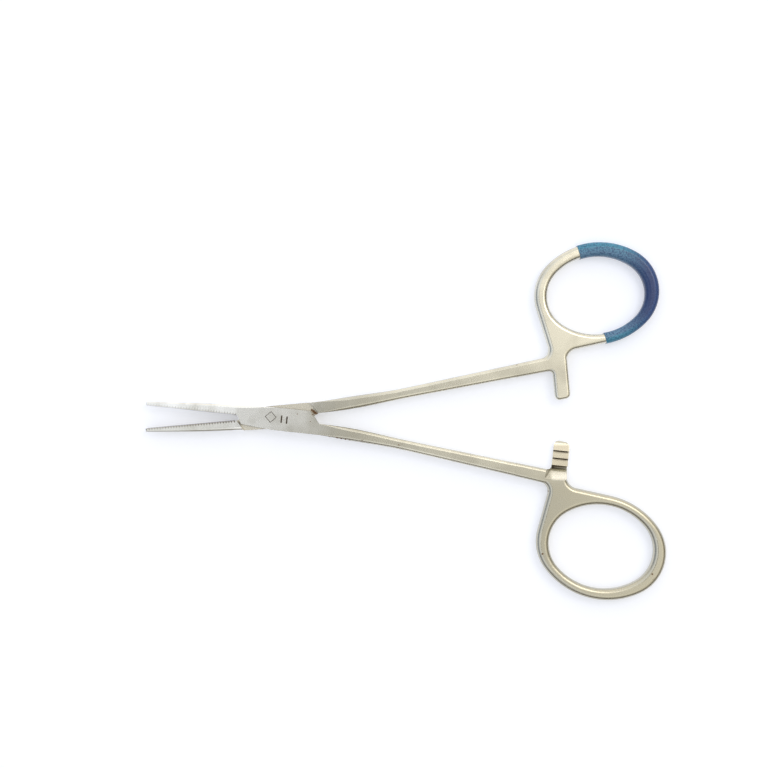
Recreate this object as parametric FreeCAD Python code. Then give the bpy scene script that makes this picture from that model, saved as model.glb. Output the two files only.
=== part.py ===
import FreeCAD, Part
import math
import os

# Straight mosquito hemostat forceps with a box lock, about five inches long when closed.
# Lengths are in millimetres and angles in degrees. Each half is drawn closed, lying along X with
# the pivot at x = 0 and the jaws on the -X side, with its mid-plane at z = 0. The box half keeps
# its jaw at +Y and its shank at -Y. The tongue half is drawn the same way and turned over.

# Pose that the solids are written in
open_angle = 11.1           # between the two halves, each turned by half of it

# Box lock
box_thickness = 4.2
box_half_width = 2.75
box_flat_start = 2.0        # from here on the sides of the box run straight
lock_front = 6.9            # front shoulder, measured on the centre line
lock_rear = 12.9            # rear shoulder, measured on the centre line
front_shoulder_slant = 30.0
rear_shoulder_slant = 38.0
web_angle = 27.0            # slope of the two webs that close the slot
tongue_thickness = 1.7
slot_side_gap = 0.05        # between tongue and cheek, on each side
shoulder_gap = 0.12         # in plan, between the shoulders or webs and what they face
cheek_front_depth = 2.07    # how far the cheeks' front end goes across before they widen
pin_radius = 1.2
pin_running_gap = 0.03

# Jaws
jaw_length = 29.0
tip_width = 0.8             # one jaw
tip_thickness = 1.7
jaw_width_power = 1.65
jaw_thickness_power = 1.3
jaw_edge_round = 0.85       # at the root, less towards the tip
jaw_face_round = 0.1
tip_round = 0.3
tooth_pitch = 0.665
tooth_depth = 0.32
tooth_count = 32            # along each jaw
jaw_closed_gap = 0.03       # between the two rows of teeth when the jaws are shut

# Shank
lock_to_ratchet = 71.5
shank_end_back = 10.5       # where the shank runs into the ring plate, before the ratchet
shank_thickness = 3.2
shank_edge_round = 0.8
shank_root_width = 3.05     # where it is widest, behind the box
shank_root_run = 7.3        # from the rear shoulder to there
shank_waist_width = 2.5
shank_waist_run = 20.6      # from the rear shoulder to the waist
shank_end_width = 3.25
shank_fall = 0.111          # slope of its straight stretch, away from the centre line
shank_first_round = 0.12    # edge rounding while it is still part of the box
neck_overlap = 1.0          # how far it runs on into the ring plate
neck_proud = 0.025          # the plate stands this much proud of it all round
shank_end_offset = 6.0      # from the centre line to the middle of the shank at its end

# Ratchet
arm_width = 3.8
arm_reach = 1.9             # how far the arm crosses the centre line
arm_tip_round = 1.2
arm_root_round = 0.9
arm_tip_slant = 6.0         # the side towards the jaws is longer
arm_sunk = 4.0              # how far the arm runs on into the ring, past the shank's middle
ratchet_teeth = 3
ratchet_pitch = 1.8
ratchet_tooth_height = 0.5
ratchet_first_hook = -0.35  # y of the hook nearest to the tip
ratchet_hook_lean = 0.15    # of the steep side of a tooth
ratchet_pass_gap = 0.1      # between the crests of the two racks
ratchet_foot = 0.6          # from the last hook to the foot of the ramp
ratchet_ramp = 2.6          # its run along the arm
ratchet_ramp_side = 1.5     # its run beside the arm, towards the jaws

throat_round = 2.7          # between the arm and the near side of the ring
heel_round = 2.2
heel_back = 1.9             # of the heel's corner, behind the arm's centre line
heel_run = 4.5              # how far the ring's form runs on along the neck
stub_round = 1.5            # at its ends in the neck and the arm

# Finger rings: centre past the ratchet and off the centre line, half lengths of each oval outside
# and inside, how far it leans, how far the hole sits towards the shank, and the depth of the throat
# below the middle of the shank's end
ring_thickness = 3.25
ring_edge_round = 1.12
oval_end_share = 1.08       # radius of an oval's ends against that of an ellipse
lower_ring = {
    "centre": (11.75, -22.3), "outer": (15.75, 12.5), "inner": (12.6, 9.95), "lean": -8.5, "hole_lean": -4.5,
    "hole_shift": 0.1, "throat": 2.6,
}
upper_ring = {
    "centre": (10.4, -22.85), "outer": (15.0, 12.15), "inner": (11.9, 9.45), "lean": -3.5, "hole_lean": -1.4,
    "hole_shift": 0.35, "throat": 3.5,
}

# Blue coating on the far end of the upper ring
coat_thickness = 0.18
coat_far_start = -3.8       # from the ring centre along X, on the far side
coat_near_start = 1.3       # the same on the side of the shank

# Small allowances
reach_past = 8.0            # how far a cutter stands clear of what it cuts
seat_overlap = 0.5          # how far two forms of one piece run into each other
seat_inset = 0.02           # how far a form stays inside another that covers it


def vec(x, y, z=0.0):
    return FreeCAD.Vector(x, y, z)


def prism(points, low, high):
    """Closed straight-sided outline in the XY plane, raised from low to high."""
    corners = [vec(x, y, low) for x, y in points]
    face = Part.Face(Part.makePolygon(corners + corners[:1]))
    return face.extrude(vec(0, 0, high - low))


def jaw_share(x):
    """Zero where the box sides run straight, one at the tip."""
    return max(0.0, (box_flat_start - x) / (box_flat_start + jaw_length))


def jaw_width(x):
    return box_half_width - (box_half_width - tip_width) * jaw_share(x) ** jaw_width_power


def jaw_half_thickness(x):
    share = max(0.0, (-lock_front - x) / (jaw_length - lock_front))
    return (box_thickness - (box_thickness - tip_thickness) * share ** jaw_thickness_power) / 2


def section(x, low, high, half, round_low, round_high):
    """Upright section with rounded corners, from y = low to y = high."""
    def arc(cy, cz, radius, start):
        ends = []
        for degrees in (start, start + 45, start + 90):
            turn = math.radians(degrees)
            ends.append(vec(x, cy + radius * math.cos(turn), cz + radius * math.sin(turn)))
        return Part.Arc(*ends).toShape()

    arcs = [
        arc(high - round_high, -half + round_high, round_high, -90),
        arc(high - round_high, half - round_high, round_high, 0),
        arc(low + round_low, half - round_low, round_low, 90),
        arc(low + round_low, -half + round_low, round_low, 180),
    ]
    edges = []
    for index, piece in enumerate(arcs):
        following = arcs[(index + 1) % len(arcs)]
        edges.append(piece)
        edges.append(Part.makeLine(piece.lastVertex().Point, following.firstVertex().Point))
    return Part.Wire(edges)


def tooth_row_length():
    return tooth_count * tooth_pitch


def tooth_crest():
    """How far the crests of each jaw stand past the centre plane."""
    return (tooth_depth - jaw_closed_gap) / 2


def jaw_section(x, face, inset=0.0):
    """Outline of one jaw at x, drawn in by the inset where the tip is rounded off."""
    corner = jaw_edge_round * min(1.0, jaw_width(x) / jaw_width(-lock_front))
    corner = max(corner - inset, jaw_face_round)
    return section(x, face, jaw_width(x) - inset, jaw_half_thickness(x) - inset, jaw_face_round, corner)


def make_jaw():
    """One jaw with its toothed face on the centre plane, run on into the side of the box."""
    root = -lock_front
    rounded = -jaw_length + tip_round
    row_end = rounded + tooth_row_length()
    nose = []
    for degrees in (90, 60, 30, 0):
        turn = math.radians(degrees)
        x = rounded - tip_round * math.sin(turn)
        nose.append(jaw_section(x, jaw_closed_gap / 2, tip_round * (1 - math.cos(turn))))
    toothed = [jaw_section(rounded + tooth_row_length() * step / 8, -tooth_crest()) for step in range(9)]
    plain = [jaw_section(row_end + (root - row_end) * step / 2, jaw_closed_gap / 2) for step in range(3)]
    in_box = []
    for step in range(4):
        x = root + (box_flat_start - root) * step / 3
        corner = ease(x, (root, jaw_edge_round), (box_flat_start, jaw_face_round))
        low = -seat_overlap * step
        in_box.append(section(x, low, jaw_width(x), box_thickness / 2, jaw_face_round, corner))
    lofts = [Part.makeLoft(wires, True, True) for wires in (nose, toothed, plain, in_box)]
    return lofts[0].fuse(lofts[1:])


def cut_teeth(jaw, shift):
    """Cross grooves along the flat face, moved along the row by a share of the pitch."""
    crest = -tooth_crest()
    height = box_thickness
    grooves = []
    for index in range(-1, tooth_count):
        x = -jaw_length + tip_round + (index + 0.5 + shift) * tooth_pitch
        outline = [(x - tooth_pitch / 2, crest - tooth_depth), (x + tooth_pitch / 2, crest - tooth_depth),
                   (x + tooth_pitch / 2, crest), (x, crest + tooth_depth), (x - tooth_pitch / 2, crest)]
        grooves.append(prism(outline, -height, height))
    return jaw.cut(grooves)


def ease(x, start, end):
    """From the value at start to the value at end, level at both. Each stop is (x, value)."""
    share = min(1.0, max(0.0, (x - start[0]) / (end[0] - start[0])))
    return start[1] + (end[1] - start[1]) * share ** 2 * (3 - 2 * share)


def shank_end():
    return lock_to_ratchet - shank_end_back


def shank_waist():
    return lock_rear + shank_waist_run


def shank_middle(x):
    """Middle line: straight from the waist on, bowed in to meet the box before it."""
    straight = shank_fall * (shank_end() - x) - shank_end_offset
    bow = box_half_width / 2 - shank_end_offset + shank_fall * (shank_end() - lock_rear)
    share = min(1.0, max(0.0, (x - lock_rear) / shank_waist_run))
    return straight - bow * (1 - share) ** 2


def shank_widening():
    return (shank_end_width - shank_waist_width) / (shank_end() - shank_waist())


def shank_width(x):
    widest = (lock_rear + shank_root_run, shank_root_width)
    if x < widest[0]:
        return ease(x, (lock_rear, box_half_width), widest)
    if x < shank_waist():
        return ease(x, widest, (shank_waist(), shank_waist_width))
    return shank_waist_width + shank_widening() * (x - shank_waist())


def make_shank():
    """Shank from inside the box to the ring plate, with its edges rolled over more and more."""
    first = lock_rear - 2 * shank_root_run / 3
    last = shank_end() + neck_overlap
    count = 18
    wires = []
    for index in range(count + 1):
        x = first + (last - first) * index / count
        half = ease(x, (lock_rear, box_thickness), (shank_waist(), shank_thickness)) / 2
        corner = ease(x, (lock_rear, shank_first_round), (lock_rear + shank_root_run, shank_edge_round))
        middle = shank_middle(max(x, lock_rear))
        wide = shank_width(x)
        wires.append(section(x, middle - wide / 2, middle + wide / 2, half, corner, corner))
    return Part.makeLoft(wires, True, True)


def ring_centre(ring):
    return vec(lock_to_ratchet + ring["centre"][0], ring["centre"][1])


def hole_centre(ring):
    return ring_centre(ring) + vec(0, ring["hole_shift"])


def polar(centre, radius, degrees):
    turn = math.radians(degrees)
    return centre + vec(math.cos(turn), math.sin(turn)) * radius


def arc_between(centre, radius, start, end):
    """Arc from one angle to another, the shorter or the longer way as the numbers say."""
    points = [polar(centre, radius, start + (end - start) * share) for share in (0, 0.5, 1)]
    return Part.Arc(*points).toShape()


def oval_arcs(centre, halves, lean):
    """Oval of four tangent arcs: right end, far side, left end, near side.

    Each is (centre, radius, start, end).
    """
    along, across = halves
    end = across ** 2 / along * oval_end_share
    side = ((along - end) ** 2 + across ** 2 - end ** 2) / (2 * (across - end))
    meet = math.degrees(math.atan2(side - across, along - end))
    right = polar(centre, along - end, lean)
    left = polar(centre, end - along, lean)
    far = polar(centre, side - across, lean + 90)
    near = polar(centre, across - side, lean + 90)
    return [(right, end, lean + meet, lean - meet), (far, side, lean - meet, lean - 180 + meet),
            (left, end, lean - 180 + meet, lean - 180 - meet), (near, side, lean + 180 - meet, lean + meet)]


def oval_wire(centre, halves, lean):
    return Part.Wire([arc_between(*piece) for piece in oval_arcs(centre, halves, lean)])


def touch_angle(centre, radius, point, side):
    """Where the line from the point touches the circle, on the side given as 1 or -1."""
    away = point - centre
    toward = math.degrees(math.atan2(away.y, away.x))
    return toward + side * math.degrees(math.acos(radius / away.Length))


def rounded_path(corners):
    """Lines through the corners, each given as (point, rounding radius)."""
    edges = []
    last = corners[0][0]
    for index in range(1, len(corners) - 1):
        point, radius = corners[index]
        back = (corners[index - 1][0] - point).normalize()
        ahead = (corners[index + 1][0] - point).normalize()
        half_turn = back.getAngle(ahead) / 2
        reach = radius / math.tan(half_turn)
        start = point + back * reach
        edges.append(Part.makeLine(last, start))
        last = start
        if radius > 0:
            last = point + ahead * reach
            inward = (back + ahead).normalize()
            middle = point + inward * (radius / math.sin(half_turn) - radius)
            edges.append(Part.Arc(start, middle, last).toShape())
    edges.append(Part.makeLine(last, corners[-1][0]))
    return edges


def pierced_plate(outline, half, hole=None):
    """Flat plate, perhaps with a hole, as thick below the mid-plane as above it."""
    up = vec(0, 0, 2 * half)
    plate = Part.Face(outline).extrude(up)
    if hole is not None:
        plate = plate.cut(Part.Face(hole).extrude(up))
    plate.translate(vec(0, 0, -half))
    return plate


def round_rims(solid, radius, half, seam=None):
    """Rolls the upper and lower rims of a plate over, apart from those at the seam."""
    rims = []
    for edge in solid.Edges:
        box = edge.BoundBox
        level = abs(box.ZMax - box.ZMin) < 0.0001 and abs(abs(box.ZMax) - half) < 0.0001
        middle = edge.CenterOfMass
        at_seam = seam is not None and middle.distanceToPoint(vec(seam.x, seam.y, middle.z)) < 0.001
        if level and not at_seam:
            rims.append(edge)
    return solid.makeFillet(radius, rims)


def neck_edge(x, side):
    """Point on the edge of the neck, in line with the shank: side is 1 inside and -1 outside."""
    fall = shank_fall - side * shank_widening() / 2
    return vec(x, side * (shank_end_width / 2 + neck_proud) - shank_end_offset - fall * (x - shank_end()))


def heel_x():
    return lock_to_ratchet - heel_back


def make_ring_form(ring):
    """Finger ring with its broad rounding, run on into the neck and the arm."""
    half = ring_thickness / 2
    left = lock_to_ratchet - arm_width / 2 + seat_inset
    right = lock_to_ratchet + arm_width / 2 - seat_inset
    throat = vec(right, -shank_end_offset - ring["throat"])
    inward = vec(0, seat_inset)
    heel = neck_edge(heel_x(), -1) + inward
    neck_outer = neck_edge(heel_x() - heel_run, -1) + inward
    neck_inner = neck_edge(heel_x() - heel_run, 1) - inward

    right_end, far_side, left_end, near_side = oval_arcs(ring_centre(ring), ring["outer"], ring["lean"])
    near_touch = touch_angle(near_side[0], near_side[1], throat, -1)
    left_touch = touch_angle(left_end[0], left_end[1], heel, 1) - 360
    around = [(near_side[0], near_side[1], near_touch, near_side[3]), right_end, far_side,
              (left_end[0], left_end[1], left_end[2], left_touch)]
    path = rounded_path([
        (polar(left_end[0], left_end[1], left_touch), 0), (heel, heel_round), (neck_outer, stub_round),
        (neck_inner, stub_round), (neck_edge(left, 1) - inward, arm_root_round), (vec(left, 0), stub_round),
        (vec(right, 0), stub_round), (throat, throat_round),
        (polar(near_side[0], near_side[1], near_touch), 0)])
    outline = Part.Wire(Part.__sortEdges__(path + [arc_between(*piece) for piece in around]))
    hole = oval_wire(hole_centre(ring), ring["inner"], ring["hole_lean"])
    return round_rims(pierced_plate(outline, half, hole), ring_edge_round, half)


def make_arm_form():
    """Neck and ratchet arm with their narrow rounding, run on into the flat of the ring."""
    half = ring_thickness / 2
    left = lock_to_ratchet - arm_width / 2
    right = lock_to_ratchet + arm_width / 2
    slant = arm_width / 2 * math.tan(math.radians(arm_tip_slant))
    inside = heel_x() + ring_edge_round + seat_overlap
    low = -shank_end_offset - arm_sunk
    neck_outer = neck_edge(shank_end(), -1)
    neck_inner = neck_edge(shank_end(), 1)
    outline = Part.Wire(rounded_path([
        (neck_outer, 0), (neck_inner, 0), (neck_edge(left, 1), arm_root_round),
        (vec(left, arm_reach + slant), arm_tip_round), (vec(right, arm_reach - slant), arm_tip_round),
        (vec(right, low), 0), (vec(inside, low), 0), (neck_edge(inside, -1), 0), (neck_outer, 0)]))
    return round_rims(pierced_plate(outline, half), shank_edge_round, half, (neck_outer + neck_inner) / 2)


def ratchet_cutter():
    """What is taken off the top of the arm: saw teeth, and a ramp at its root and beside it."""
    crest = -ratchet_pass_gap / 2
    valley = crest - ratchet_tooth_height
    surface = ring_thickness / 2
    left = lock_to_ratchet - arm_width / 2
    past = lock_to_ratchet + arm_width / 2 + seat_overlap
    hooks = [ratchet_first_hook - index * ratchet_pitch for index in range(ratchet_teeth)]
    foot = hooks[-1] - ratchet_foot
    clear = arm_reach + reach_past
    points = [vec(0, foot, valley)]
    for hook in reversed(hooks):
        points += [vec(0, hook - ratchet_hook_lean, valley), vec(0, hook, crest)]
    points += [vec(0, hooks[0] + ratchet_pitch, valley), vec(0, clear, valley), vec(0, clear, 2 * surface),
               vec(0, foot, 2 * surface)]
    teeth = Part.Face(Part.makePolygon(points + points[:1])).extrude(vec(past - left + arm_root_round, 0, 0))
    teeth.translate(vec(left - arm_root_round, 0, 0))

    def level(z):
        rise = (z - valley) / (surface - valley)
        near = foot - ratchet_ramp * rise
        beside = left - ratchet_ramp_side * rise
        corners = [vec(beside, near, z), vec(past, near, z), vec(past, foot, z), vec(beside, foot, z)]
        return Part.makePolygon(corners + corners[:1])

    ramp = Part.makeLoft([level(valley - seat_overlap), level(2 * surface)], True, True)
    return teeth.fuse(ramp)


def make_half(ring, tooth_shift):
    """Everything that the two halves have alike: jaw, shank, ring plate and ratchet."""
    jaw = cut_teeth(make_jaw(), tooth_shift)
    plate = make_ring_form(ring).fuse(make_arm_form()).cut(ratchet_cutter())
    return jaw, make_shank(), plate


def shoulder_run(slant):
    """How far a shoulder moves along X for each millimetre across."""
    return math.tan(math.radians(slant))


def web_run():
    """How far a web moves along X from the centre line to the side of the box."""
    return box_half_width / math.tan(math.radians(web_angle))


def make_box_arm():
    """Half with the box: two cheeks joined by a web at each end of the slot."""
    jaw, shank, plate = make_half(lower_ring, 0.0)
    half = box_thickness / 2
    wide = box_half_width
    front = -lock_front + shoulder_gap
    rear = lock_rear - shoulder_gap
    corner_x = front + shoulder_run(front_shoulder_slant) * cheek_front_depth
    cheeks = prism([
        (front, 0.0), (box_flat_start, 0.0), (box_flat_start, wide),
        (rear - shoulder_run(rear_shoulder_slant) * wide, wide), (rear, 0.0),
        (lock_rear + seat_overlap, -seat_overlap), (lock_rear + seat_overlap, -wide), (box_flat_start, -wide),
        (corner_x, -cheek_front_depth)], -half, half)
    arm = jaw.fuse([cheeks, shank, plate])

    over = wide + reach_past
    slot = prism([
        (-lock_front, 0.0), (-lock_front + web_run(), wide), (-lock_front + web_run(), over),
        (lock_rear, over), (lock_rear, 0.0), (lock_rear - web_run(), -wide),
        (lock_rear - web_run(), -over), (-lock_front, -over)],
        -tongue_thickness / 2 - slot_side_gap, tongue_thickness / 2 + slot_side_gap)
    bore = Part.makeCylinder(pin_radius, 2 * box_thickness, vec(0, 0, -box_thickness))
    return arm.cut([slot, bore])


def make_tongue_arm():
    """Half with the tongue: jaw and shank are cut back to the shoulders and joined through the slot."""
    jaw, shank, plate = make_half(upper_ring, 0.5)
    wide = box_half_width
    over = wide + reach_past
    front_run = shoulder_run(front_shoulder_slant)
    rear_run = shoulder_run(rear_shoulder_slant)
    between = prism([
        (-lock_front - front_run * over, -over), (-lock_front + front_run * over, over),
        (lock_rear + rear_run * over, over), (lock_rear - rear_run * over, -over)],
        -box_thickness, box_thickness)
    front = -lock_front + shoulder_gap
    rear = lock_rear - shoulder_gap
    tongue = prism([
        (-lock_front - seat_overlap, seat_overlap), (front, 0.0), (front + web_run(), -wide),
        (lock_rear + seat_overlap, -wide), (lock_rear + seat_overlap, -seat_overlap), (rear, 0.0),
        (rear - web_run(), wide), (box_flat_start, wide), (-lock_front, jaw_width(-lock_front))],
        -tongue_thickness / 2, tongue_thickness / 2)
    bore = Part.makeCylinder(pin_radius + pin_running_gap, 2 * box_thickness, vec(0, 0, -box_thickness))
    return jaw.fuse([shank, plate]).cut(between).fuse(tongue).cut(bore)


def make_pin():
    return Part.makeCylinder(pin_radius, box_thickness, vec(0, 0, -box_thickness / 2))


def make_coat(arm):
    """Skin over the far end of the upper ring, seated on the metal."""
    centre = ring_centre(upper_ring)
    half = ring_thickness / 2 + coat_thickness
    outer_halves = [size + coat_thickness for size in upper_ring["outer"]]
    inner_halves = [size - coat_thickness for size in upper_ring["inner"]]
    outline = oval_wire(centre, outer_halves, upper_ring["lean"])
    hole = oval_wire(hole_centre(upper_ring), inner_halves, upper_ring["hole_lean"])
    skin = round_rims(pierced_plate(outline, half, hole), ring_edge_round + coat_thickness, half)
    far_y = centre.y - upper_ring["outer"][1]
    near_y = centre.y + upper_ring["outer"][1]
    slope = (coat_near_start - coat_far_start) / (near_y - far_y)
    low_x = centre.x + coat_far_start - slope * reach_past
    high_x = centre.x + coat_near_start + slope * reach_past
    past = centre.x + upper_ring["outer"][0] + reach_past
    keep = prism([(low_x, far_y - reach_past), (past, far_y - reach_past), (past, near_y + reach_past),
                  (high_x, near_y + reach_past)], -2 * half, 2 * half)
    return skin.common(keep).cut(arm)


def place(shape, turned_over):
    """From the drawing of a half to its place in the open forceps, standing on z = 0."""
    turn = open_angle / 2
    if turned_over:
        shape.rotate(vec(0, 0), vec(1, 0), 180)
        shape.rotate(vec(0, 0), vec(0, 0, 1), turn)
    else:
        shape.rotate(vec(0, 0), vec(0, 0, 1), -turn)
    shape.translate(vec(0, 0, box_thickness / 2))
    return shape


def main():
    os.makedirs("parts", exist_ok=True)
    box_arm = make_box_arm()
    tongue_arm = make_tongue_arm()
    coat = make_coat(tongue_arm)
    nodes = {
        "box_arm": place(box_arm, False),
        "tongue_arm": place(tongue_arm, True),
        "pivot_pin": place(make_pin(), False),
        "ring_coating": place(coat, True),
    }
    for name, shape in nodes.items():
        solids = shape.Solids
        print(name, len(solids), shape.isValid(), round(shape.Volume, 2))
        solid = solids[0] if len(solids) == 1 else shape
        solid.exportStep("parts/" + name + ".step")


main()
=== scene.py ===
import math
import bpy
from mathutils import Euler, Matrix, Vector

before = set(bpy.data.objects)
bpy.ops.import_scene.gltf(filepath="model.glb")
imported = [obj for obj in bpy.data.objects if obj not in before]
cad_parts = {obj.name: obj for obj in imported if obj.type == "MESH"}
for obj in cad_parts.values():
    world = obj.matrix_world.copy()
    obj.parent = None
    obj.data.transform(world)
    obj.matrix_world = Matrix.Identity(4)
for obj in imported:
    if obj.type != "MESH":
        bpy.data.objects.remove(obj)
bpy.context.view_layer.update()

# straight hemostat forceps, lying open on a white table

mm = 0.001
halfOpen = math.radians(5.55)    # each half is turned by this much in the rest pose
print("forceps loaded:", ", ".join(sorted(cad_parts)))


def srgbToLinear(hexColour):
    channels = [int(hexColour[i:i + 2], 16) / 255 for i in (0, 2, 4)]
    linear = [c / 12.92 if c <= 0.04045 else ((c + 0.055) / 1.055) ** 2.4 for c in channels]
    return (*linear, 1.0)


def addNode(tree, kind, inputs=None, **settings):
    # inputs by name or number: each is a value, a hex colour or the socket that is linked to it
    node = tree.nodes.new(kind)
    for name, value in settings.items():
        setattr(node, name, value)
    for name, value in (inputs or {}).items():
        if isinstance(value, bpy.types.NodeSocket):
            tree.links.new(value, node.inputs[name])
        else:
            node.inputs[name].default_value = srgbToLinear(value) if isinstance(value, str) else value
    return node


def newMaterial(name):
    material = bpy.data.materials.new(name)
    material.use_nodes = True
    material.node_tree.nodes.clear()
    return material, material.node_tree


def dress(nodeName, material):
    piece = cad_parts[nodeName]
    piece.data.materials.clear()
    piece.data.materials.append(material)
    piece.data.shade_smooth()


def joined(tree, operation, parts):
    # of masks, MAXIMUM keeps what any of them covers and MULTIPLY what all of them cover
    total = parts[0]
    for part in parts[1:]:
        total = addNode(tree, "ShaderNodeMath", {0: total, 1: part}, operation=operation).outputs[0]
    return total


def awayFrom(tree, coordinate, value):
    # distance from a value, to either side
    less = addNode(tree, "ShaderNodeMath", {0: coordinate, 1: value}, operation="SUBTRACT")
    return addNode(tree, "ShaderNodeMath", {0: less.outputs[0]}, operation="ABSOLUTE").outputs[0]


# instrument steel, forged, polished and then blasted with fine beads:
# a soft warm grey with blurred reflections and a fine grain
steelLook = {
    "colour": "fafaf8",
    "roughness": 0.27,
    "roughnessSpread": 0.02,
    "grain": 0.30 * mm,            # bead marks, drawn coarser than real so that they show
    "grainDepth": 0.001 * mm,
    "grainStrength": 0.3,
    "cloud": 7.0 * mm,             # width of the duller patches
    "neckMiddle": 21 * mm,         # middle of the painted shade on the shanks, just out of the box
    # laid over the colour in turn: what a layer follows, from where to where, its share, edge and colour
    "layers": (
        ("x", (0 * mm, 34 * mm), 1.0, "SMOOTHSTEP", "e2dfd2"),      # painted reflection: the steel darker and warmer towards the handles
        ("y", (-9 * mm, -17 * mm), 0.55, "SMOOTHSTEP", "a9a491"),   # painted shade: darker towards the lower ring
        # painted shade: the shanks darker on either side of neckMiddle
        ("fromNeck", (14 * mm, 2 * mm), 0.46, "SMOOTHSTEP", "a8a597"),
        ("cloud", (0.45, 0.75), 0.8, "LINEAR", "c3c0b4"),
        ("grain", (0.5, 0.8), 0.06, "LINEAR", "c3c0b4"),
    ),
    # film dried in grooves and gaps, with painted shade laid there too, from the openness where it begins
    # to where it is full
    "filmAndShade": {"colour": "3d2f20", "reach": 0.6 * mm, "openness": (0.72, 0.40), "share": 0.95},
    "filmAndShadeAbove": 0.6 * mm,        # height above the table, so that none of it is laid on the underside
    "grimeRoughness": 0.6,
}

# small pits and stains on the upper side, as the used pair has them
spotLook = {
    "colour": "75593f",
    "above": 1.6 * mm,
    "wobble": 0.35 * mm,           # width of the bumps in their outlines
    "uneven": (0.5, 1.5),          # how far the bumps squeeze and stretch them
    "edge": (0.5, 1.2),            # full inside and gone outside, as shares of the radius
}

# painted shade in the roots of the jaw teeth, and a stain of what dries there, darkening the edge beside
# them; lengths in mm
toothShadeAndStain = {
    "colour": "5a4838",
    "pitch": 0.665,
    "first": -28.7,                # a root lies here when the jaw lies along X
    "depth": 0.175,                # of the roots, from the plane where the jaws meet
    "reach": 0.42,                 # of the shade and stain past a root
    "edge": 0.10,
    "spread": 2.1,                 # how fast it draws back to the crest on each side
    "tipRun": (-27.0, -9.0),       # weaker towards the tip
    "tipShare": 0.7,
    "end": -7.0,
}

# plain etched ornament on the box: a lozenge and two short bars
ornament = {
    "colour": "4f463c",
    "middle": (1.3 * mm, 0.35 * mm),
    "size": 1.3 * mm,
    "line": 0.22 * mm,
    "bars": ((3.9 * mm, 0.1 * mm), (5.2 * mm, 0.0)),
    "barSize": (0.18 * mm, 0.9 * mm),    # half of their width and length
    "edge": 0.04 * mm,
    "turn": -halfOpen,
    "above": 4.1 * mm,             # only the top of the box lies higher
}

boxArm = {
    # x, y and radius in mm: the shank beside the box, the box, the shank's end and the ring
    "spots": (
        (15.4, -4.45, 0.22), (17.2, -4.7, 0.30), (18.2, -4.85, 0.24), (19.2, -4.95, 0.20),
        (20.3, -5.1, 0.16), (23.2, -5.2, 0.16), (32.0, -6.2, 0.20),
        (7.7, 0.95, 0.16), (10.8, -0.8, 0.14), (11.4, 0.9, 0.26),
        (67.7, -17.0, 0.28), (69.1, -26.1, 0.24), (66.6, -31.9, 0.26), (92.8, -36.5, 0.26),
    ),
    "teeth": {"side": 1, "shift": 0.5, "strength": 0.35},
    "patches": {
        "rack": {"middle": (70.8 * mm, -8.7 * mm), "size": (2.6 * mm, 3.2 * mm), "edge": 0.7 * mm},
        "ramp": {"middle": (70.6 * mm, -13.2 * mm), "size": (2.3 * mm, 1.3 * mm), "edge": 0.7 * mm},
    },
    "layers": (
        ("rack", (0, 1), 0.55, "LINEAR", "827969"),    # painted shade: the rack's faces darker, against the lamp's reflection on them
        ("ramp", (0, 1), 1.0, "LINEAR", "fffcf2"),    # painted highlight on the ramp, where the other arm slides on
    ),
    # under the ratchet's hooks the film and the painted shade are thickest
    "hooks": {"reach": 1.3 * mm, "openness": (0.86, 0.60), "share": 1.0},
    "ornament": ornament,
}

tongueArm = {
    # the brown stain at the rear of the slot, and one pit on the shank
    "spots": ((11.1, 2.0, 0.34), (11.5, 1.65, 0.44), (11.9, 1.3, 0.44), (12.3, 1.1, 0.30),
              (60.2, 13.2, 0.14)),
    "teeth": {"side": -1, "shift": 0.0, "strength": 0.95},
    "lock": {"along": (2.1 * mm, 9.3 * mm), "high": (2.1 * mm, 0.9 * mm)},    # middle and reach
    "layers": (
        ("lock", (0, 1), 1.0, "LINEAR", "f4efe2"),    # painted shade: the tongue's faces inside the lock darker and warmer
        ("x", (-6 * mm, -9 * mm), 0.45, "LINEAR", "c3c0b4"),    # painted shade: this jaw darker than the other
    ),
}

pivotPin = {"ornament": ornament}    # the etching runs on over its end


def sheltered(tree, creviceLook):
    # the share of film and painted shade in narrow places, none in the open
    near = addNode(tree, "ShaderNodeAmbientOcclusion", {"Distance": creviceLook["reach"]}, samples=8)
    begins, full = creviceLook["openness"]
    return addNode(tree, "ShaderNodeMapRange",
                   {0: near.outputs["AO"], "From Min": begins, "From Max": full,
                    "To Max": creviceLook["share"]}).outputs[0]


def patchOnTop(tree, flatAxes, normal, patch):
    # one within size of the middle along X and Y, on faces that look up, softly edged
    steepest = 0.6                 # how far such a face may lean, as the height of its normal
    height = addNode(tree, "ShaderNodeSeparateXYZ", {0: normal}).outputs[2]
    upwards = addNode(tree, "ShaderNodeMath", {0: height, 1: steepest}, operation="GREATER_THAN")
    masks = [upwards.outputs[0]]
    for axis, middle, size in zip(flatAxes, patch["middle"], patch["size"]):
        inside = addNode(tree, "ShaderNodeMapRange",
                         {0: awayFrom(tree, axis, middle),
                          "From Min": size, "From Max": size - patch["edge"]})
        masks.append(inside.outputs[0])
    return joined(tree, "MULTIPLY", masks)


def insideLock(tree, x, z, lock):
    # one on the tongue's own faces: the middle of the height, between the shoulders
    masks = []
    for axis, (middle, reach) in ((x, lock["along"]), (z, lock["high"])):
        within = addNode(tree, "ShaderNodeMath", {0: axis, 1: middle, 2: reach}, operation="COMPARE")
        masks.append(within.outputs[0])
    return joined(tree, "MULTIPLY", masks)


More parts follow.
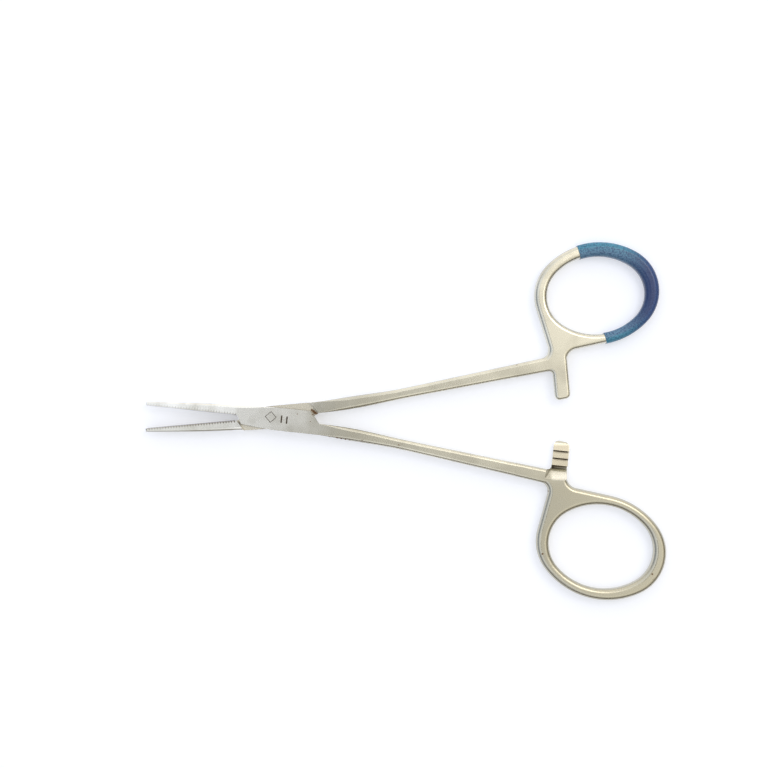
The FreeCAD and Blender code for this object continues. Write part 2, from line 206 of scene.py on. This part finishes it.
def spotMask(tree, place, z, spots, look):
    # one where a spot lies, with an uneven edge
    flat = addNode(tree, "ShaderNodeVectorMath", {0: place, 1: (1, 1, 0)}, operation="MULTIPLY")
    wobble = addNode(tree, "ShaderNodeTexNoise",
                     {"Vector": place, "Scale": 1 / look["wobble"], "Detail": 2.0})
    uneven = addNode(tree, "ShaderNodeMapRange",
                     {0: wobble.outputs["Fac"], "To Min": look["uneven"][0], "To Max": look["uneven"][1]})
    masks = []
    for x, y, radius in spots:
        away = addNode(tree, "ShaderNodeVectorMath", {0: flat.outputs[0], 1: (x * mm, y * mm, 0)},
                       operation="DISTANCE").outputs["Value"]
        full, gone = (share * radius * mm for share in look["edge"])
        mask = addNode(tree, "ShaderNodeMapRange",
                       {0: joined(tree, "MULTIPLY", [away, uneven.outputs[0]]),
                        "From Min": full, "From Max": gone, "To Min": 1.0, "To Max": 0.0})
        masks.append(mask.outputs[0])
    upper = addNode(tree, "ShaderNodeMath", {0: z, 1: look["above"]}, operation="GREATER_THAN")
    return joined(tree, "MULTIPLY", [joined(tree, "MAXIMUM", masks), upper.outputs[0]])


def ornamentMask(tree, place, look):
    # one on the etched lines, on the upper side of the box only
    turned = addNode(tree, "ShaderNodeMapping", {"Vector": place, "Rotation": (0, 0, look["turn"])},
                     vector_type="TEXTURE")
    x, y, z = addNode(tree, "ShaderNodeSeparateXYZ", {0: turned.outputs[0]}).outputs
    middleX, middleY = look["middle"]
    across = joined(tree, "ADD", [awayFrom(tree, x, middleX), awayFrom(tree, y, middleY)])
    # a shape is a few distances, each with the limit that it stays within
    shapes = [[(awayFrom(tree, across, look["size"]), look["line"] / 2)]]
    for barX, barY in look["bars"]:
        shapes.append(list(zip((awayFrom(tree, x, barX), awayFrom(tree, y, barY)), look["barSize"])))
    masks = []
    for shape in shapes:
        sides = []
        for away, limit in shape:
            side = addNode(tree, "ShaderNodeMapRange",
                           {0: away, "From Min": limit - look["edge"], "From Max": limit + look["edge"],
                            "To Min": 1.0, "To Max": 0.0})
            sides.append(side.outputs[0])
        masks.append(joined(tree, "MULTIPLY", sides))
    upper = addNode(tree, "ShaderNodeMath", {0: z, 1: look["above"]}, operation="GREATER_THAN")
    return joined(tree, "MULTIPLY", [joined(tree, "MAXIMUM", masks), upper.outputs[0]])


def toothMask(tree, place, look, teeth):
    # one beside the tooth roots; side is 1 for the jaw at +Y and -1 for the other
    turned = addNode(tree, "ShaderNodeMapping",
                     {"Vector": place, "Rotation": (0, 0, teeth["side"] * halfOpen),
                      "Scale": (1 / mm,) * 3})
    x, y = addNode(tree, "ShaderNodeSeparateXYZ", {0: turned.outputs[0]}).outputs[:2]
    inward = addNode(tree, "ShaderNodeMath", {0: y, 1: teeth["side"]}, operation="MULTIPLY").outputs[0]
    drawn = x
    for operation, value in (("SUBTRACT", look["first"] + teeth["shift"] * look["pitch"]),
                             ("PINGPONG", look["pitch"] / 2), ("MULTIPLY", look["spread"])):
        drawn = addNode(tree, "ShaderNodeMath", {0: drawn, 1: value}, operation=operation).outputs[0]
    limit = look["depth"] + look["reach"]
    rootShadeAndStain = addNode(tree, "ShaderNodeMapRange",
                    {0: joined(tree, "ADD", [inward, drawn]),
                     "From Min": limit, "From Max": limit - look["edge"]})
    fade = addNode(tree, "ShaderNodeMapRange",
                   {0: x, "From Min": look["tipRun"][0], "From Max": look["tipRun"][1],
                    "To Min": look["tipShare"] * teeth["strength"], "To Max": teeth["strength"]})
    onJaw = addNode(tree, "ShaderNodeMath", {0: x, 1: look["end"]}, operation="LESS_THAN")
    return joined(tree, "MULTIPLY", [rootShadeAndStain.outputs[0], fade.outputs[0], onJaw.outputs[0]])


def beadBlastedSteel(name, look, piece):
    material, tree = newMaterial(name)
    surface = addNode(tree, "ShaderNodeTexCoord").outputs
    place = surface["Object"]
    x, y, z = addNode(tree, "ShaderNodeSeparateXYZ", {0: place}).outputs
    # what the layers can follow
    fields = {"x": x, "y": y, "fromNeck": awayFrom(tree, x, look["neckMiddle"])}
    for field, detail in (("cloud", 4.0), ("grain", 3.0)):
        noise = addNode(tree, "ShaderNodeTexNoise",
                        {"Vector": place, "Scale": 1 / look[field], "Detail": detail})
        fields[field] = noise.outputs["Fac"]
    for field, patch in piece.get("patches", {}).items():
        fields[field] = patchOnTop(tree, (x, y), surface["Normal"], patch)
    if "lock" in piece:
        fields["lock"] = insideLock(tree, x, z, piece["lock"])

    covers = []                    # each is a mask and the colour that it lays on
    for field, (start, end), share, edge, layerColour in look["layers"] + piece.get("layers", ()):
        cover = addNode(tree, "ShaderNodeMapRange",
                        {0: fields[field], "From Min": start, "From Max": end, "To Max": share},
                        interpolation_type=edge)
        covers.append((cover.outputs[0], layerColour))
    above = addNode(tree, "ShaderNodeMath", {0: z, 1: look["filmAndShadeAbove"]}, operation="GREATER_THAN")
    dirtAndShade = joined(tree, "MULTIPLY", [sheltered(tree, look["filmAndShade"]), above.outputs[0]])
    if "hooks" in piece:
        underHooks = joined(tree, "MULTIPLY", [sheltered(tree, piece["hooks"]), fields["rack"]])
        dirtAndShade = joined(tree, "MAXIMUM", [dirtAndShade, underHooks])
    # painted shade and film in grooves, gaps and under the hooks
    covers.append((dirtAndShade, look["filmAndShade"]["colour"]))
    if "spots" in piece:
        stained = spotMask(tree, place, z, piece["spots"], spotLook)
        covers.append((stained, spotLook["colour"]))
        dirtAndShade = joined(tree, "MAXIMUM", [dirtAndShade, stained])
    if "teeth" in piece:
        # painted shade and stain beside the tooth roots
        covers.append((toothMask(tree, place, toothShadeAndStain, piece["teeth"]), toothShadeAndStain["colour"]))
    if "ornament" in piece:
        etched = ornamentMask(tree, place, piece["ornament"])
        covers.append((etched, piece["ornament"]["colour"]))
        dirtAndShade = joined(tree, "MAXIMUM", [dirtAndShade, etched])

    colour = look["colour"]
    for mask, over in covers:
        mixed = addNode(tree, "ShaderNodeMix", {0: mask, 6: colour, 7: over}, data_type="RGBA")
        colour = mixed.outputs[2]
    rough = addNode(tree, "ShaderNodeMapRange",
                    {0: fields["grain"], "To Min": look["roughness"] - look["roughnessSpread"],
                     "To Max": look["roughness"] + look["roughnessSpread"]})
    rough = addNode(tree, "ShaderNodeMix", {0: dirtAndShade, 2: rough.outputs[0], 3: look["grimeRoughness"]},
                    data_type="FLOAT")
    bump = addNode(tree, "ShaderNodeBump",
                   {"Height": fields["grain"], "Distance": look["grainDepth"],
                    "Strength": look["grainStrength"]})
    shader = addNode(tree, "ShaderNodeBsdfPrincipled",
                     {"Base Color": colour, "Metallic": 1.0, "Roughness": rough.outputs[0],
                      "Normal": bump.outputs[0]})
    addNode(tree, "ShaderNodeOutputMaterial", {"Surface": shader.outputs[0]})
    return material


# PVC dip coat, cured glossy: teal, and a deep blue at the far side of the ring, with a soft highlight,
# dark flecks and a faint orange peel
coatLook = {
    "outer": "529bbb",
    "outerFar": "41598f",
    "inner": "6a8cae",             # painted sheen and shade on the faces towards the hole: greyer here, deep navy at the far side
    "innerFar": "263566",
    "farRun": (84 * mm, 93 * mm),
    "ringMiddle": (79.4 * mm, 30.3 * mm, 2.1 * mm),
    "innerRun": (0.30, 0.08),      # how far a face looks away from the middle of the ring
    "innerShare": 0.8,
    "roughness": 0.19,
    "shine": 0.38,
    "speckle": 0.32 * mm,          # flecks and orange peel, drawn coarser than real so that they show
    "fleck": "263566",
    "fleckRun": (0.42, 0.68),      # from none to their full share, as values of the noise
    "fleckShare": 0.8,
    "peelDepth": 0.012 * mm,
    "peelStrength": 0.5,
}


def dippedVinyl(name, look):
    material, tree = newMaterial(name)
    surface = addNode(tree, "ShaderNodeTexCoord").outputs
    place = surface["Object"]
    speckle = addNode(tree, "ShaderNodeTexNoise",
                      {"Vector": place, "Scale": 1 / look["speckle"], "Detail": 3.0}).outputs["Fac"]
    axes = addNode(tree, "ShaderNodeSeparateXYZ", {0: place})
    far = addNode(tree, "ShaderNodeMapRange",
                  {0: axes.outputs[0], "From Min": look["farRun"][0], "From Max": look["farRun"][1]},
                  interpolation_type="SMOOTHSTEP").outputs[0]
    outer, inner = (addNode(tree, "ShaderNodeMix", {0: far, 6: look[near], 7: look[near + "Far"]},
                            data_type="RGBA").outputs[2] for near in ("outer", "inner"))
    fromMiddle = addNode(tree, "ShaderNodeVectorMath", {0: place, 1: look["ringMiddle"]},
                         operation="SUBTRACT")
    outward = addNode(tree, "ShaderNodeVectorMath", {0: fromMiddle.outputs[0]}, operation="NORMALIZE")
    facing = addNode(tree, "ShaderNodeVectorMath", {0: outward.outputs[0], 1: surface["Normal"]},
                     operation="DOT_PRODUCT")
    towardsHole = addNode(tree, "ShaderNodeMapRange",
                          {0: facing.outputs["Value"], "From Min": look["innerRun"][0],
                           "From Max": look["innerRun"][1], "To Max": look["innerShare"]})
    flecks = addNode(tree, "ShaderNodeMapRange",
                     {0: speckle, "From Min": look["fleckRun"][0], "From Max": look["fleckRun"][1],
                      "To Max": look["fleckShare"]})
    colour = outer
    # painted sheen and shade on the faces towards the hole, then the flecks
    for mask, over in ((towardsHole, inner), (flecks, look["fleck"])):
        mixed = addNode(tree, "ShaderNodeMix", {0: mask.outputs[0], 6: colour, 7: over}, data_type="RGBA")
        colour = mixed.outputs[2]
    bump = addNode(tree, "ShaderNodeBump",
                   {"Height": speckle, "Distance": look["peelDepth"], "Strength": look["peelStrength"]})
    shader = addNode(tree, "ShaderNodeBsdfPrincipled",
                     {"Base Color": colour, "Roughness": look["roughness"],
                      "Specular IOR Level": look["shine"], "Normal": bump.outputs[0]})
    addNode(tree, "ShaderNodeOutputMaterial", {"Surface": shader.outputs[0]})
    return material


dress("box_arm", beadBlastedSteel("boxHalfSteel", steelLook, boxArm))
dress("tongue_arm", beadBlastedSteel("tongueHalfSteel", steelLook, tongueArm))
dress("pivot_pin", beadBlastedSteel("pinSteel", steelLook, pivotPin))
dress("ring_coating", dippedVinyl("dippedVinyl", coatLook))
print("steel and coating made")


# white table top, matt laminate: it shows the soft shadow and nothing else
tableTop = {
    "size": 2.0,
    "colour": "d6dbea",
    "lift": 0.44,                  # of white added for what sees the table, so that it renders white
}


def makeTable(look):
    bpy.ops.mesh.primitive_plane_add(size=look["size"], location=(0, 0, 0))
    table = bpy.context.object
    table.name = "table"
    material, tree = newMaterial("mattLaminate")
    rays = addNode(tree, "ShaderNodeLightPath").outputs
    seen = joined(tree, "MAXIMUM",
                  [rays[name] for name in ("Is Camera Ray", "Is Glossy Ray", "Is Transmission Ray")])
    strength = addNode(tree, "ShaderNodeMath", {0: seen, 1: look["lift"]}, operation="MULTIPLY")
    glow = addNode(tree, "ShaderNodeEmission", {"Strength": strength.outputs[0]})
    matt = addNode(tree, "ShaderNodeBsdfDiffuse", {"Color": look["colour"]})
    both = addNode(tree, "ShaderNodeAddShader", {0: matt.outputs[0], 1: glow.outputs[0]})
    addNode(tree, "ShaderNodeOutputMaterial", {"Surface": both.outputs[0]})
    table.data.materials.append(material)


# a pale ceiling with a dark patch straight above, round the camera; grey walls at the sides, a bright
# one behind and a dark one in front
room = {
    "strength": 1.2,
    "patchTowards": (-0.035, -0.04, 1.0),
    # a row blends two colours, hex or from a row above, over a stretch of what it follows
    "rows": (
        ("sides", "sideways", (-0.7, 0.7), "LINEAR", "8f99a8", "7d7665"),
        ("ends", "backward", (-0.5, 0.5), "LINEAR", "6b665c", "fffaf0"),
        ("walls", "lengthways", (0.2, 0.9), "LINEAR", "sides", "ends"),
        ("ceiling", "sideways", (-0.3, 0.3), "LINEAR", "f3f6fa", "f7f2e4"),
        ("bare", "upward", (0.35, 0.98), "SMOOTHSTEP", "walls", "ceiling"),
        ("whole", "toPatch", (0.979, 0.9985), "SMOOTHSTEP", "bare", "565550"),    # cosines of the angle
    ),
}


def makeRoom(look):
    world = bpy.data.worlds.new("room")
    bpy.context.scene.world = world
    world.use_nodes = True
    tree = world.node_tree
    tree.nodes.clear()
    direction = addNode(tree, "ShaderNodeTexCoord").outputs["Generated"]
    sideways, backward, upward = addNode(tree, "ShaderNodeSeparateXYZ", {0: direction}).outputs
    lengthways = addNode(tree, "ShaderNodeMath", {0: backward}, operation="ABSOLUTE")
    towards = Vector(look["patchTowards"]).normalized()
    toPatch = addNode(tree, "ShaderNodeVectorMath", {0: direction, 1: towards}, operation="DOT_PRODUCT")
    fields = {"sideways": sideways, "backward": backward, "upward": upward,
              "lengthways": lengthways.outputs[0], "toPatch": toPatch.outputs["Value"]}
    made = {}
    for name, field, (start, end), edge, under, over in look["rows"]:
        share = addNode(tree, "ShaderNodeMapRange",
                        {0: fields[field], "From Min": start, "From Max": end}, interpolation_type=edge)
        mixed = addNode(tree, "ShaderNodeMix",
                        {0: share.outputs[0], 6: made.get(under, under), 7: made.get(over, over)},
                        data_type="RGBA")
        made[name] = mixed.outputs[2]
    sky = addNode(tree, "ShaderNodeBackground", {"Color": made["whole"], "Strength": look["strength"]})
    addNode(tree, "ShaderNodeOutputWorld", {"Surface": sky.outputs[0]})


# a broad lamp, high at the upper right of the photograph
lamp = {
    "towards": (0.40, 0.32, 0.86),
    "distance": 0.7,
    "size": 0.3,
    "power": 0.55,
    "colour": "fff7ea",
}


def makeLamp(look, target):
    disk = bpy.data.lights.new("lamp", "AREA")
    disk.shape = "DISK"
    disk.size = look["size"]
    disk.energy = look["power"]
    disk.color = srgbToLinear(look["colour"])[:3]
    holder = bpy.data.objects.new("lamp", disk)
    towards = Vector(look["towards"]).normalized()
    holder.location = Vector(target) + towards * look["distance"]
    holder.rotation_euler = towards.to_track_quat("Z", "Y").to_euler()
    bpy.context.collection.objects.link(holder)


# the photograph is taken from almost straight above
view = {
    "target": (28.35 * mm, 8.4 * mm, 2.1 * mm),
    "distance": 350 * mm,
    "fieldWidth": 184.9 * mm,
    "tilt": 1.6,
    "roll": 0.5,
    "nearest": 10 * mm,
}


def makeCamera(look):
    camera = bpy.data.cameras.new("camera")
    camera.lens = camera.sensor_width * look["distance"] / look["fieldWidth"]
    camera.clip_start = look["nearest"]
    holder = bpy.data.objects.new("camera", camera)
    holder.rotation_euler = Euler((math.radians(look["tilt"]), 0, math.radians(look["roll"])))
    back = Vector((0, 0, look["distance"]))
    back.rotate(holder.rotation_euler)
    holder.location = Vector(look["target"]) + back
    bpy.context.collection.objects.link(holder)
    bpy.context.scene.camera = holder


makeTable(tableTop)
makeRoom(room)
makeLamp(lamp, view["target"])
makeCamera(view)
bpy.context.scene.view_settings.view_transform = "Standard"
print("table, room, lamp and camera made")
